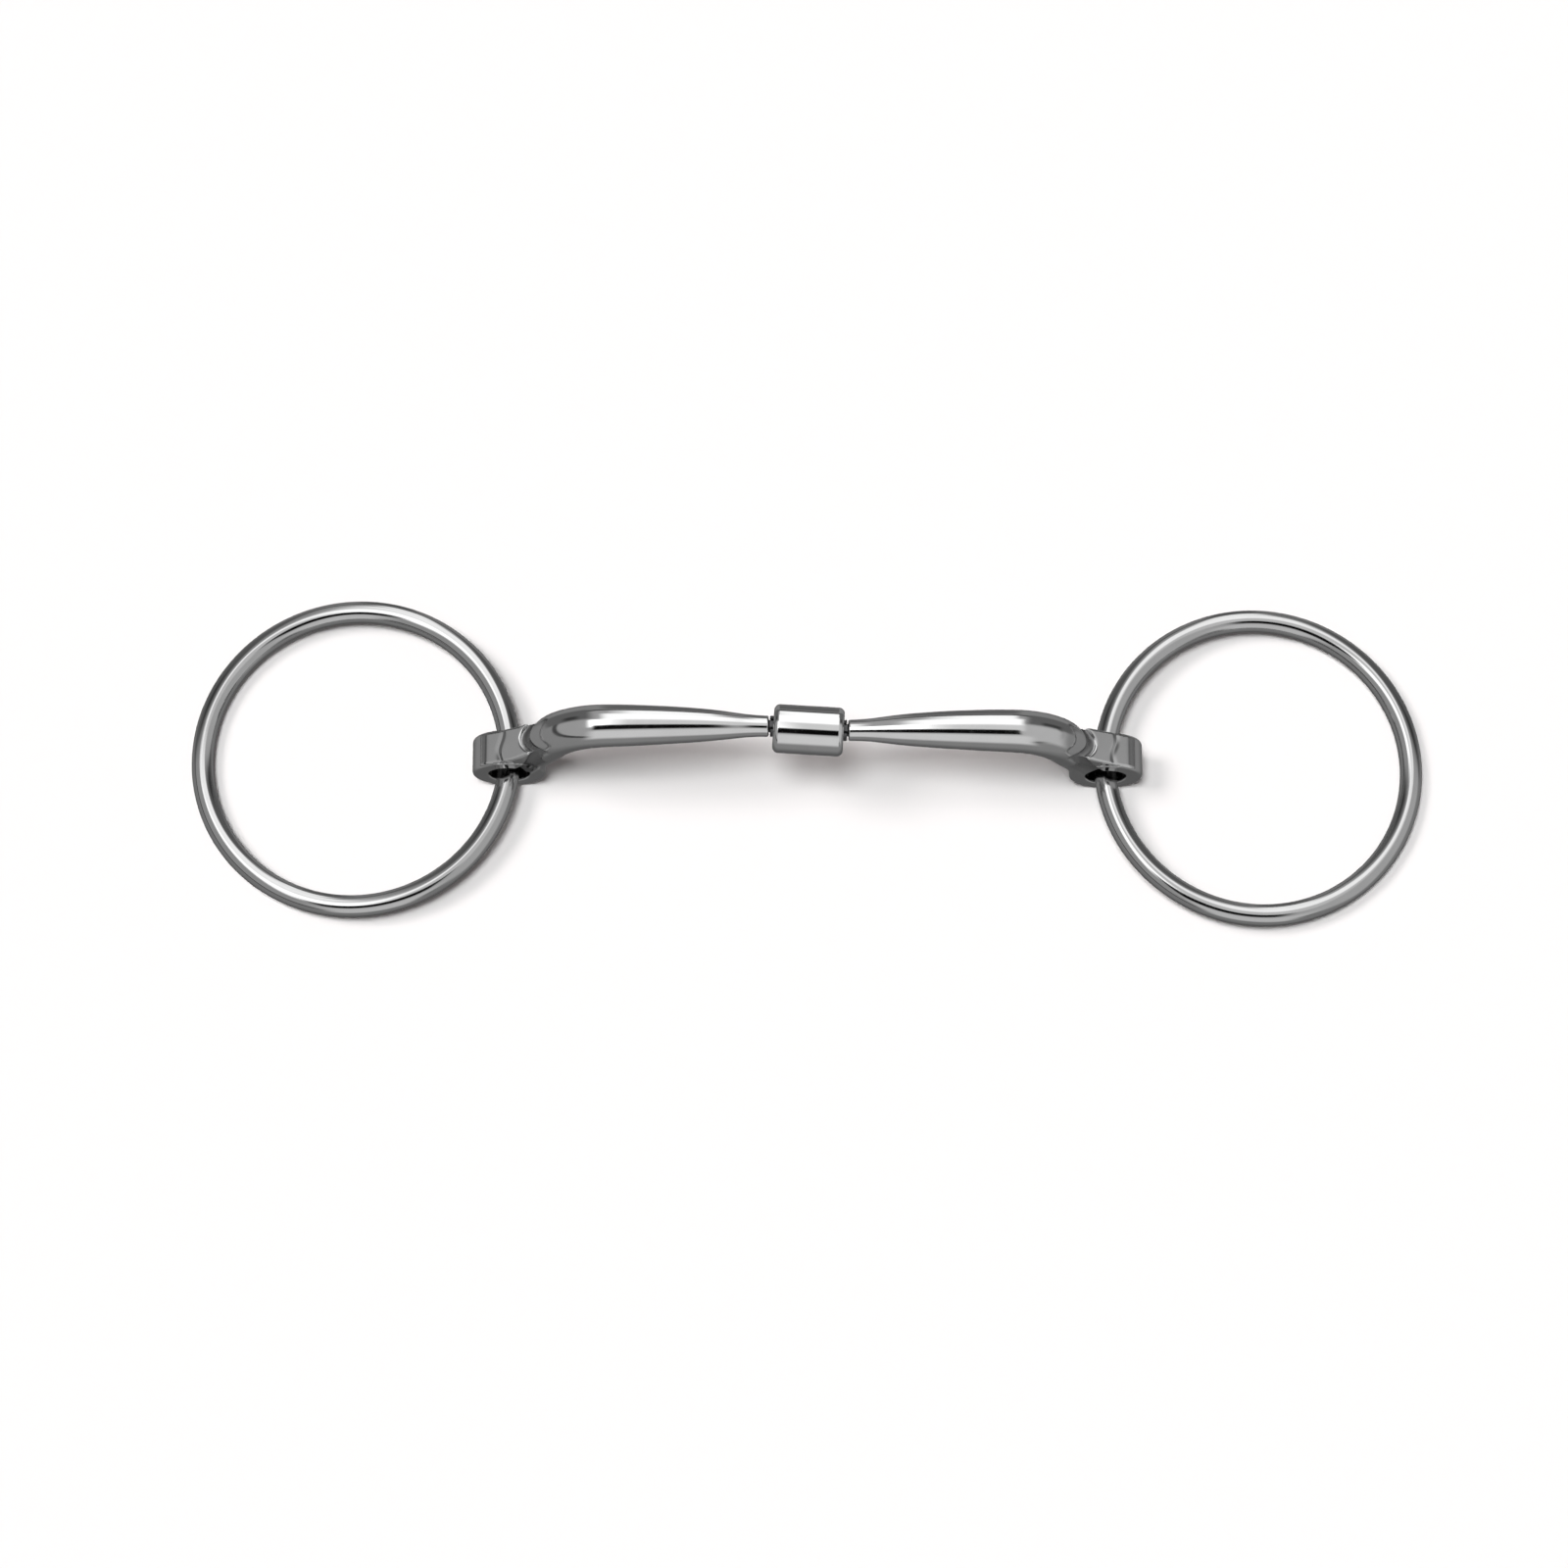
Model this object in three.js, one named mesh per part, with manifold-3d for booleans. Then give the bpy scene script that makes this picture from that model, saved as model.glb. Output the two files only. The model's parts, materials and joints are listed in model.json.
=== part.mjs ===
// Loose-ring snaffle bit with a curved, barrel-jointed mouthpiece.
//
// Millimetres, +Z up. The bit stands as an arch on the two loops of its mouthpiece, with the rings laid out
// flat to either side. The origin is on the table under the middle of the barrel, and X runs along the mouth.
// Each half is drawn on the +X side, and the left half is then turned round the Z axis. The halves and the
// sleeve sit off one another by a little of the play in the joint, as they do when the bit is laid down.

import * as THREE from 'three';
import { mergeVertices } from 'three/addons/utils/BufferGeometryUtils.js';
import Module from 'manifold-3d';

// Driving dimensions.
const MOUTH_WIDTH = 127; // between the two ring wires
const RING_INNER_DIAMETER = 63.5;
const WIRE_RADIUS = 2.45;

const LOOP_RADIUS = 8.1;
const LOOP_HALF_WIDTH = 4;
const LOOP_HOLE_RADIUS = 4.5;
const LOOP_CORNER = 1.2; // rounding of the loop's outer edges
const HOLE_FLARE = 0.6; // easing of the hole's rim
const WIRE_DROP = 1.6; // the wire hangs this far below the middle of its hole
const LEFT_LOOP_SHIFT = 0.9; // each loop is forged a little to one side of its rod, along its half's own Y
const RIGHT_LOOP_SHIFT = -0.2;

const ARCH_RISE = 20.3; // from the loops' centres up to the barrel's axis
const ARM_SLOPE = THREE.MathUtils.degToRad(60); // where the arm leaves its loop
const ARM_OFFSET = 2.8; // the arm's axis passes the loop's centre this far to the inside
const ARM_TILT = THREE.MathUtils.degToRad(4); // the long stretch bows from +tilt to -tilt
const KNEE_RADIUS = 14;
const FLAT_END = 9; // the flats run parallel this far along the arm's axis from the loop
const FLAT_FADE = 6; // and fade into the round rod over this length
const WEB_TILT = THREE.MathUtils.degToRad(30); // the web's top leaves the loop where the wall leans this far
const WEB_LENGTH = 14; // from the loop's centre up along the arm
const WEB_END_RADIUS = 1;
const WEB_END_HALF_WIDTH = 3.2;

const BARREL_HALF_LENGTH = 7.7;
const BARREL_RADIUS = 5.35;
const BARREL_CORNER = 1.3;
const BORE_RADIUS = 4.55;
const LIP_RADIUS = 3.1;
const LIP_LENGTH = 1;

const CLEARANCE = 0.3; // between pieces that touch or turn in each other
const PLUG_START = 1; // from the middle of the barrel
const PLUG_RADIUS = 3.5;
const NOSE_RADIUS = 2.3;
const NOSE_REACH = 0.7; // past the end of the barrel
const SLOT_HALF_WIDTH = 1.2;
const SLOT_FLOOR = 1.9;
const PIN_X = 4.2;
const PIN_RADIUS = 0.75;
const PIN_SINK = 0.1; // each end of the pin lies this far under the plug's surface
const TONGUE_HALF_WIDTH = 0.85;
const TONGUE_HALF_HEIGHT = 1.8;
const TONGUE_ROOT = 0.5; // how far the tongue runs on into the arm
const FOLD_LIMIT = THREE.MathUtils.degToRad(12);

// How the loose pieces lie in their play.
const HALF_SHIFT = 0.45; // the left half lies this far to +Y, and the right half to -Y
const BARREL_SHIFT = -0.45; // the sleeve, along Y
const BARREL_COCK = THREE.MathUtils.degToRad(-3.4); // the sleeve, round Z
const RIGHT_RING_YAW = THREE.MathUtils.degToRad(-1); // the right ring, round Z

// The rod's radius against its distance from the middle of the barrel, along its axis.
const ROD_PROFILE = [[8.7, 2.3], [11, 2.33], [13.5, 2.5], [17, 2.97], [21, 3.45], [26, 3.86], [32, 4.22],
  [40, 4.57], [48, 4.74]];
const ROD_RADIUS = 4.8;
const PROFILE_FADE = 7; // past the last of these, the radius eases to the rod's own over this length

// Finishes: colour and roughness.
const RING_FINISH = [0xb4b6b8, 0.1];
const ARM_FINISH = [0xa8aaac, 0.12];
const SLEEVE_FINISH = [0xb8babc, 0.1];
const PLUG_FINISH = [0x5f6163, 0.3];
const PIN_FINISH = [0x8c8e90, 0.25];
const SPACER_FINISH = [0xb08a4c, 0.35];

// Fineness.
const ROUND = 40; // facets round the barrel and the loops
const ROUND_SMALL = 20; // facets round pins and holes
const LOOP_CORNER_STEPS = 3;
const BARREL_CORNER_STEPS = 4;
const TONGUE_END_STEPS = 10;
const ROD_SIDES = 24;
const ROD_STEPS = 34;
const RING_SIDES = 16;
const RING_STEPS = 64;
const MERGE_TOLERANCE = 1e-4; // corners closer than this are one corner
const TOOL_MARGIN = 1; // how far cutting tools reach past what they cut

// Derived places.
const RING_RADIUS = RING_INNER_DIAMETER / 2 + WIRE_RADIUS;
const LOOP_X = MOUTH_WIDTH / 2 + WIRE_RADIUS;
const LOOP_Z = LOOP_RADIUS;
const AXIS_Z = LOOP_Z + ARCH_RISE;
const WIRE_Z = LOOP_Z - WIRE_DROP;
const RING_TILT = Math.asin((WIRE_Z - WIRE_RADIUS) / (2 * RING_RADIUS));
const NOSE_END = BARREL_HALF_LENGTH + NOSE_REACH;
const SHOULDER_X = NOSE_END + CLEARANCE;

const wasm = await Module();
wasm.setup();

function toSolid(geometry) {
  const bare = geometry.clone();
  bare.deleteAttribute('normal');
  bare.deleteAttribute('uv');
  const merged = mergeVertices(bare, MERGE_TOLERANCE);
  const vertProperties = new Float32Array(merged.attributes.position.array);
  const triVerts = new Uint32Array(merged.index.array);
  return new wasm.Manifold(new wasm.Mesh({ numProp: 3, vertProperties, triVerts }));
}

function toGeometry(solid) {
  const mesh = solid.getMesh();
  const geometry = new THREE.BufferGeometry();
  geometry.setAttribute('position', new THREE.BufferAttribute(mesh.vertProperties, 3));
  geometry.setIndex(new THREE.BufferAttribute(mesh.triVerts, 1));
  geometry.computeVertexNormals();
  return geometry;
}

// A turned piece: points are [radius, position along the axis]. The axis is Y until it is laid over.
function turned(points, sides) {
  return new THREE.LatheGeometry(points.map(([r, y]) => new THREE.Vector2(r, y)), sides);
}

function alongX(geometry) {
  return geometry.rotateZ(-Math.PI / 2);
}

// The points of a quarter circle of the given radius, from one angle to another.
function quarter(centreR, centreY, radius, fromAngle, steps) {
  const points = [];
  for (let i = 0; i <= steps; i += 1) {
    const angle = fromAngle + (i / steps) * (Math.PI / 2);
    points.push([centreR + radius * Math.cos(angle), centreY + radius * Math.sin(angle)]);
  }
  return points;
}

function piece(name, geometry, [color, roughness]) {
  const material = new THREE.MeshStandardMaterial({ color, roughness, metalness: 1 });
  const mesh = new THREE.Mesh(geometry, material);
  mesh.name = name;
  return mesh;
}

// The arm's axis in the XZ plane: a straight rise from the loop, the knee, and a long, slightly bowed stretch
// that ends at the barrel. It is measured by its length from the foot of the rise.
class ArmAxis {
  constructor() {
    this.kneeLength = KNEE_RADIUS * (ARM_SLOPE - ARM_TILT);
    const kneeX = KNEE_RADIUS * (Math.sin(ARM_SLOPE) - Math.sin(ARM_TILT));
    const kneeZ = KNEE_RADIUS * (Math.cos(ARM_TILT) - Math.cos(ARM_SLOPE));
    this.riseLength = (ARCH_RISE - kneeZ) / Math.sin(ARM_SLOPE);
    this.foot = new THREE.Vector2(LOOP_X - ARM_OFFSET, LOOP_Z);
    const kneeEndX = this.foot.x - this.riseLength * Math.cos(ARM_SLOPE) - kneeX;
    this.bowRadius = (kneeEndX - SHOULDER_X) / (2 * Math.sin(ARM_TILT));
    this.bowLength = this.bowRadius * 2 * ARM_TILT;
    this.length = this.riseLength + this.kneeLength + this.bowLength;
  }

  // Returns the point and the heading, as an angle above the inward horizontal.
  at(distance) {
    const rise = Math.min(distance, this.riseLength);
    const knee = THREE.MathUtils.clamp(distance - this.riseLength, 0, this.kneeLength);
    const bow = Math.max(distance - this.riseLength - this.kneeLength, 0);
    const afterKnee = ARM_SLOPE - knee / KNEE_RADIUS;
    const heading = afterKnee - bow / this.bowRadius;
    const inward = rise * Math.cos(ARM_SLOPE)
      + KNEE_RADIUS * (Math.sin(ARM_SLOPE) - Math.sin(afterKnee))
      + this.bowRadius * (Math.sin(afterKnee) - Math.sin(heading));
    const up = rise * Math.sin(ARM_SLOPE)
      + KNEE_RADIUS * (Math.cos(afterKnee) - Math.cos(ARM_SLOPE))
      + this.bowRadius * (Math.cos(heading) - Math.cos(afterKnee));
    return { x: this.foot.x - inward, z: this.foot.y + up, heading };
  }
}

const armAxis = new ArmAxis();

function rodRadius(distanceFromBarrel) {
  const knots = ROD_PROFILE.map(([x, r]) => new THREE.Vector2(x, r));
  const last = knots[knots.length - 1];
  if (distanceFromBarrel >= last.x) {
    const blend = THREE.MathUtils.smoothstep(distanceFromBarrel, last.x, last.x + PROFILE_FADE);
    return THREE.MathUtils.lerp(last.y, ROD_RADIUS, blend);
  }
  const next = knots.findIndex((knot) => knot.x > distanceFromBarrel);
  const index = Math.max(next - 1, 0);
  const start = knots[index];
  const end = knots[index + 1];
  const share = (distanceFromBarrel - start.x) / (end.x - start.x);
  const spline = new THREE.SplineCurve(knots);
  return spline.getPoint((index + share) / (knots.length - 1)).y;
}

function rodGeometry(loopShift) {
  const profile = [[0, 0]];
  for (let i = 0; i <= ROD_STEPS; i += 1) {
    const distance = (i / ROD_STEPS) * armAxis.length;
    profile.push([rodRadius(SHOULDER_X + armAxis.length - distance), distance]);
  }
  profile.push([0, armAxis.length]);
  const geometry = turned(profile, ROD_SIDES);
  const position = geometry.attributes.position;
  for (let i = 0; i < position.count; i += 1) {
    const distance = position.getY(i);
    const side = position.getX(i);
    const fade = THREE.MathUtils.smoothstep(distance, FLAT_END, FLAT_END + FLAT_FADE);
    const flat = THREE.MathUtils.lerp(LOOP_HALF_WIDTH, ROD_RADIUS, fade);
    const middle = THREE.MathUtils.lerp(loopShift, 0, fade);
    const across = THREE.MathUtils.clamp(-position.getZ(i), middle - flat, middle + flat);
    const { x, z, heading } = armAxis.at(distance);
    position.setXYZ(i, x + side * Math.sin(heading), across, z + side * Math.cos(heading));
  }
  return geometry;
}

function loopGeometry(loopShift) {
  const edge = LOOP_HALF_WIDTH - LOOP_CORNER;
  const body = LOOP_RADIUS - LOOP_CORNER;
  const profile = [
    [0, -LOOP_HALF_WIDTH],
    ...quarter(body, -edge, LOOP_CORNER, -Math.PI / 2, LOOP_CORNER_STEPS),
    ...quarter(body, edge, LOOP_CORNER, 0, LOOP_CORNER_STEPS),
    [0, LOOP_HALF_WIDTH],
  ];
  return turned(profile, ROUND).translate(LOOP_X, loopShift, LOOP_Z);
}

// The slim end of the web that fills the outer corner between the loop and the rod. It lies inside the rod, as
// high as the plane that touches the loop where its wall leans out by the web's tilt.
function webEndGeometry() {
  const lean = ARM_SLOPE - WEB_TILT;
  const out = (LOOP_RADIUS - WEB_END_RADIUS - WEB_LENGTH * Math.sin(lean)) / Math.cos(lean);
  const x = LOOP_X + out * Math.sin(ARM_SLOPE) - WEB_LENGTH * Math.cos(ARM_SLOPE);
  const z = LOOP_Z + out * Math.cos(ARM_SLOPE) + WEB_LENGTH * Math.sin(ARM_SLOPE);
  const width = 2 * WEB_END_HALF_WIDTH;
  return new THREE.CylinderGeometry(WEB_END_RADIUS, WEB_END_RADIUS, width, ROUND_SMALL).translate(x, 0, z);
}

function loopHoleTool(loopShift) {
  const end = LOOP_HALF_WIDTH + TOOL_MARGIN;
  const wide = LOOP_HOLE_RADIUS + HOLE_FLARE;
  const profile = [
    [0, -end],
    [wide, -end],
    [wide, -LOOP_HALF_WIDTH],
    [LOOP_HOLE_RADIUS, -LOOP_HALF_WIDTH + HOLE_FLARE],
    [LOOP_HOLE_RADIUS, LOOP_HALF_WIDTH - HOLE_FLARE],
    [wide, LOOP_HALF_WIDTH],
    [wide, end],
    [0, end],
  ];
  return turned(profile, ROUND).translate(LOOP_X, loopShift, LOOP_Z);
}

// The flat tongue that goes into the swivel plug, with a round inner end centred on the pin.
function tongueGeometry() {
  const reach = SHOULDER_X + TONGUE_ROOT - PIN_X;
  const outline = new THREE.Shape();
  outline.moveTo(reach, -TONGUE_HALF_HEIGHT);
  outline.lineTo(reach, TONGUE_HALF_HEIGHT);
  outline.lineTo(0, TONGUE_HALF_HEIGHT);
  outline.absarc(0, 0, TONGUE_HALF_HEIGHT, Math.PI / 2, (3 * Math.PI) / 2, false);
  outline.closePath();
  const depth = 2 * TONGUE_HALF_WIDTH;
  const extrusion = { depth, bevelEnabled: false, curveSegments: TONGUE_END_STEPS };
  const geometry = new THREE.ExtrudeGeometry(outline, extrusion);
  return geometry.rotateX(Math.PI / 2).translate(PIN_X, TONGUE_HALF_WIDTH, AXIS_Z);
}

function pinTool(radius, halfLength) {
  return new THREE.CylinderGeometry(radius, radius, 2 * halfLength, ROUND_SMALL).translate(PIN_X, 0, AXIS_Z);
}

// Below its axis the shoulder slopes back, which lets the arm fold down until it meets the plug's nose. Above
// the axis it is square, which stops the arch from flattening.
function shoulderRelief() {
  const size = 2 * BARREL_RADIUS;
  const block = new THREE.BoxGeometry(size, size, size).translate(-size / 2, 0, -size / 2);
  return block.rotateY(FOLD_LIMIT).translate(SHOULDER_X, 0, AXIS_Z);
}

function armGeometry(loopShift) {
  const pinHole = pinTool(PIN_RADIUS + CLEARANCE, BARREL_RADIUS);
  const rod = toSolid(rodGeometry(loopShift)).subtract(toSolid(shoulderRelief()));
  const loopAndWeb = wasm.Manifold.hull([toSolid(loopGeometry(loopShift)), toSolid(webEndGeometry())]);
  const solid = rod
    .add(loopAndWeb)
    .subtract(toSolid(loopHoleTool(loopShift)))
    .add(toSolid(tongueGeometry()))
    .subtract(toSolid(pinHole));
  return toGeometry(solid);
}

function ringGeometry(yaw) {
  const geometry = new THREE.TorusGeometry(RING_RADIUS, WIRE_RADIUS, RING_SIDES, RING_STEPS);
  geometry.translate(RING_RADIUS, 0, 0).rotateY(RING_TILT).rotateZ(yaw);
  return geometry.translate(LOOP_X, 0, WIRE_Z);
}

function plugGeometry() {
  const headEnd = BARREL_HALF_LENGTH - LIP_LENGTH - CLEARANCE;
  const body = turned([
    [0, PLUG_START],
    [PLUG_RADIUS, PLUG_START],
    [PLUG_RADIUS, headEnd],
    [NOSE_RADIUS, headEnd],
    [NOSE_RADIUS, NOSE_END],
    [0, NOSE_END],
  ], ROUND_SMALL);
  const length = BARREL_HALF_LENGTH;
  const slot = new THREE.BoxGeometry(length, 2 * SLOT_HALF_WIDTH, 2 * BARREL_RADIUS);
  slot.translate(SLOT_FLOOR + length / 2, 0, AXIS_Z);
  const pinHole = pinTool(PIN_RADIUS + CLEARANCE, BARREL_RADIUS);
  const solid = toSolid(alongX(body).translate(0, 0, AXIS_Z))
    .subtract(toSolid(slot))
    .subtract(toSolid(pinHole));
  return toGeometry(solid);
}

function pinGeometry() {
  const halfLength = Math.sqrt(PLUG_RADIUS ** 2 - PIN_RADIUS ** 2) - PIN_SINK;
  return pinTool(PIN_RADIUS, halfLength);
}

function sleeveGeometry() {
  const edge = BARREL_HALF_LENGTH - BARREL_CORNER;
  const body = BARREL_RADIUS - BARREL_CORNER;
  const lip = BARREL_HALF_LENGTH - LIP_LENGTH;
  const profile = [
    [LIP_RADIUS, -BARREL_HALF_LENGTH],
    ...quarter(body, -edge, BARREL_CORNER, -Math.PI / 2, BARREL_CORNER_STEPS),
    ...quarter(body, edge, BARREL_CORNER, 0, BARREL_CORNER_STEPS),
    [LIP_RADIUS, BARREL_HALF_LENGTH],
    [LIP_RADIUS, lip],
    [BORE_RADIUS, lip],
    [BORE_RADIUS, -lip],
    [LIP_RADIUS, -lip],
    [LIP_RADIUS, -BARREL_HALF_LENGTH],
  ];
  return alongX(turned(profile, ROUND));
}

function spacerGeometry() {
  const length = 2 * (PLUG_START - CLEARANCE);
  return alongX(new THREE.CylinderGeometry(PLUG_RADIUS, PLUG_RADIUS, length, ROUND_SMALL));
}

function half(side, loopShift, ringYaw) {
  const group = new THREE.Group();
  group.add(piece(`${side}_ring`, ringGeometry(ringYaw), RING_FINISH));
  group.add(piece(`${side}_arm`, armGeometry(loopShift), ARM_FINISH));
  group.add(piece(`${side}_swivel_plug`, plugGeometry(), PLUG_FINISH));
  group.add(piece(`${side}_cross_pin`, pinGeometry(), PIN_FINISH));
  return group;
}

function barrel() {
  const group = new THREE.Group();
  group.add(piece('barrel_sleeve', sleeveGeometry(), SLEEVE_FINISH));
  group.add(piece('barrel_spacer', spacerGeometry(), SPACER_FINISH));
  group.position.set(0, BARREL_SHIFT, AXIS_Z);
  return group;
}

const rightHalf = half('right', RIGHT_LOOP_SHIFT, RIGHT_RING_YAW);
rightHalf.position.y = -HALF_SHIFT;

const leftHalf = half('left', LEFT_LOOP_SHIFT, 0);
leftHalf.position.y = HALF_SHIFT;
leftHalf.rotation.z = Math.PI;

const middle = barrel();
middle.rotation.z = BARREL_COCK;

const bit = new THREE.Group();
bit.add(middle, rightHalf, leftHalf);

export default bit;
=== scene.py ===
from functools import partial
import json
import math

import bmesh
import bpy
import numpy as np
from mathutils import Matrix, Vector


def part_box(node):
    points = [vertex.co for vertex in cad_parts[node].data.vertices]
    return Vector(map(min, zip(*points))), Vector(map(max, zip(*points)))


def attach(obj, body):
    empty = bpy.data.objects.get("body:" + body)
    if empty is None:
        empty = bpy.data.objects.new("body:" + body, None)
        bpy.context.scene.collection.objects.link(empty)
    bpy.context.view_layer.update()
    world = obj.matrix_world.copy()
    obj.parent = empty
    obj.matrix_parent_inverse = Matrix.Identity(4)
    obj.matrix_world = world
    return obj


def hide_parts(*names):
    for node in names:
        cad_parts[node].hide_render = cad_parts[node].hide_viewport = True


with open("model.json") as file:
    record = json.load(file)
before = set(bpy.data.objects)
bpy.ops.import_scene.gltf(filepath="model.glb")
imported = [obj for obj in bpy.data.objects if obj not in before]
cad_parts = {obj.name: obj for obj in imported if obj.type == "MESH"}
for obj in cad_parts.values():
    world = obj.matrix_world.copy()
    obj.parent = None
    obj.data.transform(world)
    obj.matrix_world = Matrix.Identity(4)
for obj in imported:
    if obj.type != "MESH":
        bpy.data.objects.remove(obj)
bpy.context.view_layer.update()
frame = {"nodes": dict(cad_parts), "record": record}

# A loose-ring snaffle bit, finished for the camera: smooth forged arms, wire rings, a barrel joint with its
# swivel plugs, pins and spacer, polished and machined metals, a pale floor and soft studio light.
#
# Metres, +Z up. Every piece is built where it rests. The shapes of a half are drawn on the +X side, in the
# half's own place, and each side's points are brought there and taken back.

MM = 0.001
STRAIGHT_DOWN = 180  # degrees from straight up

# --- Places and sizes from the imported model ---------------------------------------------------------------

RECORD = frame["record"]
JOINTS = {joint["name"]: joint for joint in RECORD["behaviour"]["joints"]}
BODIES = {node: body for body, nodes in RECORD["behaviour"]["bodies"].items() for node in nodes}

PIN_X, HALF_Y, AXIS_Z = JOINTS["right_fold"]["pos_m"]
LOOP_X, _, WIRE_Z = JOINTS["right_ring_swing"]["pos_m"]
FOLD_LIMIT = math.radians(JOINTS["right_fold"]["range_deg"][1])
RIGHT_YAW = math.atan2(JOINTS["right_ring_swing"]["axis"][0], -JOINTS["right_ring_swing"]["axis"][1])
LOOP_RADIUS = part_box("right_arm")[1].x - LOOP_X
LOOP_Z = LOOP_RADIUS
LOOP_FACES = {mount["name"]: mount["pos_m"][1] for mount in RECORD["mounts"]}
LOOP_HALF_WIDTH = (LOOP_FACES["right_loop_face_back"] - LOOP_FACES["right_loop_face_front"]) / 2
LOOP_SHIFTS = {  # how far each loop lies to one side of its rod, along Y in the half's own place
    "right": LOOP_FACES["right_loop_face_front"] + LOOP_HALF_WIDTH - HALF_Y,
    "left": -LOOP_FACES["left_loop_face_front"] - LOOP_HALF_WIDTH - HALF_Y,
}
WIRE_RADIUS = 2.45 * MM
RING_RADIUS = (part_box("left_ring")[1].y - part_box("left_ring")[0].y) / 2 - WIRE_RADIUS
RING_TILT = math.asin((WIRE_Z - WIRE_RADIUS) / (2 * RING_RADIUS))
BARREL_Y = (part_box("barrel_spacer")[0].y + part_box("barrel_spacer")[1].y) / 2

# --- The arm ----------------------------------------------------------------------------------------------

ARM_SLOPE = math.radians(60)
ARM_OFFSET = 2.8 * MM  # its axis passes the loop's centre this far to the inside
ARM_TILT = math.radians(4)  # the long stretch bows from +tilt to -tilt
KNEE_RADIUS = 14 * MM
KNEE_EASE = 1.2 * MM  # softens the change of curvature at both ends of the knee
SHOULDER_X = 8.7 * MM
ROD_PROFILE = (  # from the barrel's middle along the axis, radius, in mm
    (8.7, 2.3), (11, 2.33), (13.5, 2.5), (17, 2.97), (21, 3.45), (26, 3.86),
    (32, 4.22), (40, 4.57), (48, 4.74), (55, 4.8), (70, 4.8),
)
PROFILE_EASE = 1.5 * MM
FLAT_END = 9 * MM  # the flats run this far from the foot of the axis
FLAT_FADE = 6 * MM  # and fade out over this length
FLAT_CLEAR = 1.5 * MM  # faded flats lie this far outside the rod
LOOP_CORNER = 0.8 * MM
FLAT_CORNER = 0.5 * MM
CORNER_FADE = (4 * MM, 10 * MM)  # from the foot: the corner goes from the loop's to the flat's
WEB_TILT = math.radians(30)  # the web's flat top leaves the loop where the loop's wall leans out this far
WEB_END_HALF_WIDTH = 3.6 * MM
WEB_TAPER = (5 * MM, 14 * MM)  # from the foot: the web goes from the loop's width to its end's
WEB_CORNER = 0.6 * MM
FILLET = 0.8 * MM
CREASE_DEPTH = 0.5 * MM  # a groove left by grinding where the web runs out on the rod
CREASE_EDGE = 0.6 * MM
CREASE_SHADE = (0.5 * MM, 0.9 * MM)  # the distances from the crease over which its painted shade fades
CREASE_UNSHADED_SHARE = 0.4  # how much of the polished steel's tone the crease keeps under its painted shade
RIPPLE_OUT = 1.65 * MM  # polishing left a shallow wavy line across the web, this far out from the loop's axis
RIPPLE_DEPTH = 0.15 * MM
RIPPLE_WIDTH = 0.5 * MM
RIPPLE_WAVE = 0.45 * MM  # how far the line wanders
RIPPLE_PITCH = 1.3 * MM  # and over what length, for one radian of the wave
HOLE_RADIUS = 4.5 * MM
HOLE_RIM = 0.45 * MM
SHOULDER_EDGE = 0.25 * MM
TONGUE_HALF_WIDTH = 0.85 * MM
TONGUE_HALF_HEIGHT = 1.8 * MM
FINE_EDGE = 0.15 * MM

# --- The barrel and what is in it -------------------------------------------------------------------------

BARREL_HALF_LENGTH = 7.7 * MM
BARREL_RADIUS = 5.35 * MM
BARREL_CORNER = 1.3 * MM
BARREL_COCK = math.radians(-3.4)
BORE_RADIUS = 4.55 * MM
LIP_RADIUS = 3.1 * MM
LIP_LENGTH = 1 * MM
LIP_EDGE = 0.25 * MM
CLEARANCE = 0.3 * MM
PLUG_START = 1 * MM
PLUG_RADIUS = 3.5 * MM
NOSE_RADIUS = 2.3 * MM
NOSE_END = SHOULDER_X - CLEARANCE
SLOT_HALF_WIDTH = 1.2 * MM
SLOT_FLOOR = 1.9 * MM
PIN_RADIUS = 0.75 * MM
PIN_SINK = 0.1 * MM

# --- Fineness ---------------------------------------------------------------------------------------------

ARM_VOXEL = 0.3 * MM
PLUG_VOXEL = 0.2 * MM
AXIS_STEP = 0.1 * MM
BELL_REACH = 3  # a blur's bell curve is cut off this many spreads from its middle
SLOPE_REACH = 0.01 * MM
LEAST_STEEPNESS = 0.1  # a field's squared slope counts as at least this, so that no step is wild
NEAREST_PASSES = 8
PROJECT_PASSES = 5
RELAX_PASSES = 6
RELAX_SHARE = 0.5
RING_STEPS = 288
RING_SIDES = 48
TURNED_SIDES = 96
CORNER_STEPS = 8
PIN_SIDES = 40

# --- Finishes ---------------------------------------------------------------------------------------------

NOISE_BAND = (0.3, 0.7)  # most values of a noise lie in here

# Buffed steel: colour, lowest and highest roughness, depth of the polishing waves.
RING_FINISH = ((0.48, 0.48, 0.48), (0.07, 0.13), 0.012 * MM)
ARM_FINISH = ((0.6, 0.6, 0.6), (0.06, 0.13), 0.02 * MM)
SLEEVE_FINISH = ((0.62, 0.62, 0.62), (0.05, 0.1), 0.006 * MM)
CLOUD_SIZE = 6 * MM
CLOUD_DETAIL = 3
CLOUD_SHARE = 0.04  # how much darker the steel is where it is clouded
SMUDGE_SIZE = 2.5 * MM
SMUDGE_DETAIL = 6
WAVE_SIZE = 9 * MM
WAVE_DETAIL = 0
BUFFING_SIZE = 0.12 * MM
BUFFING_STRETCH = (18, 1, 1)
BUFFING_DETAIL = 4
BUFFING_DEPTH = 0.0004 * MM
BARE_AND_CREASE_SHADE_COLOR = (0.09, 0.09, 0.092)  # where no buffing reached, on the tongue, and the painted shade in the crease beside the loop
BARE_ROUGHNESS = 0.4
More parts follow.
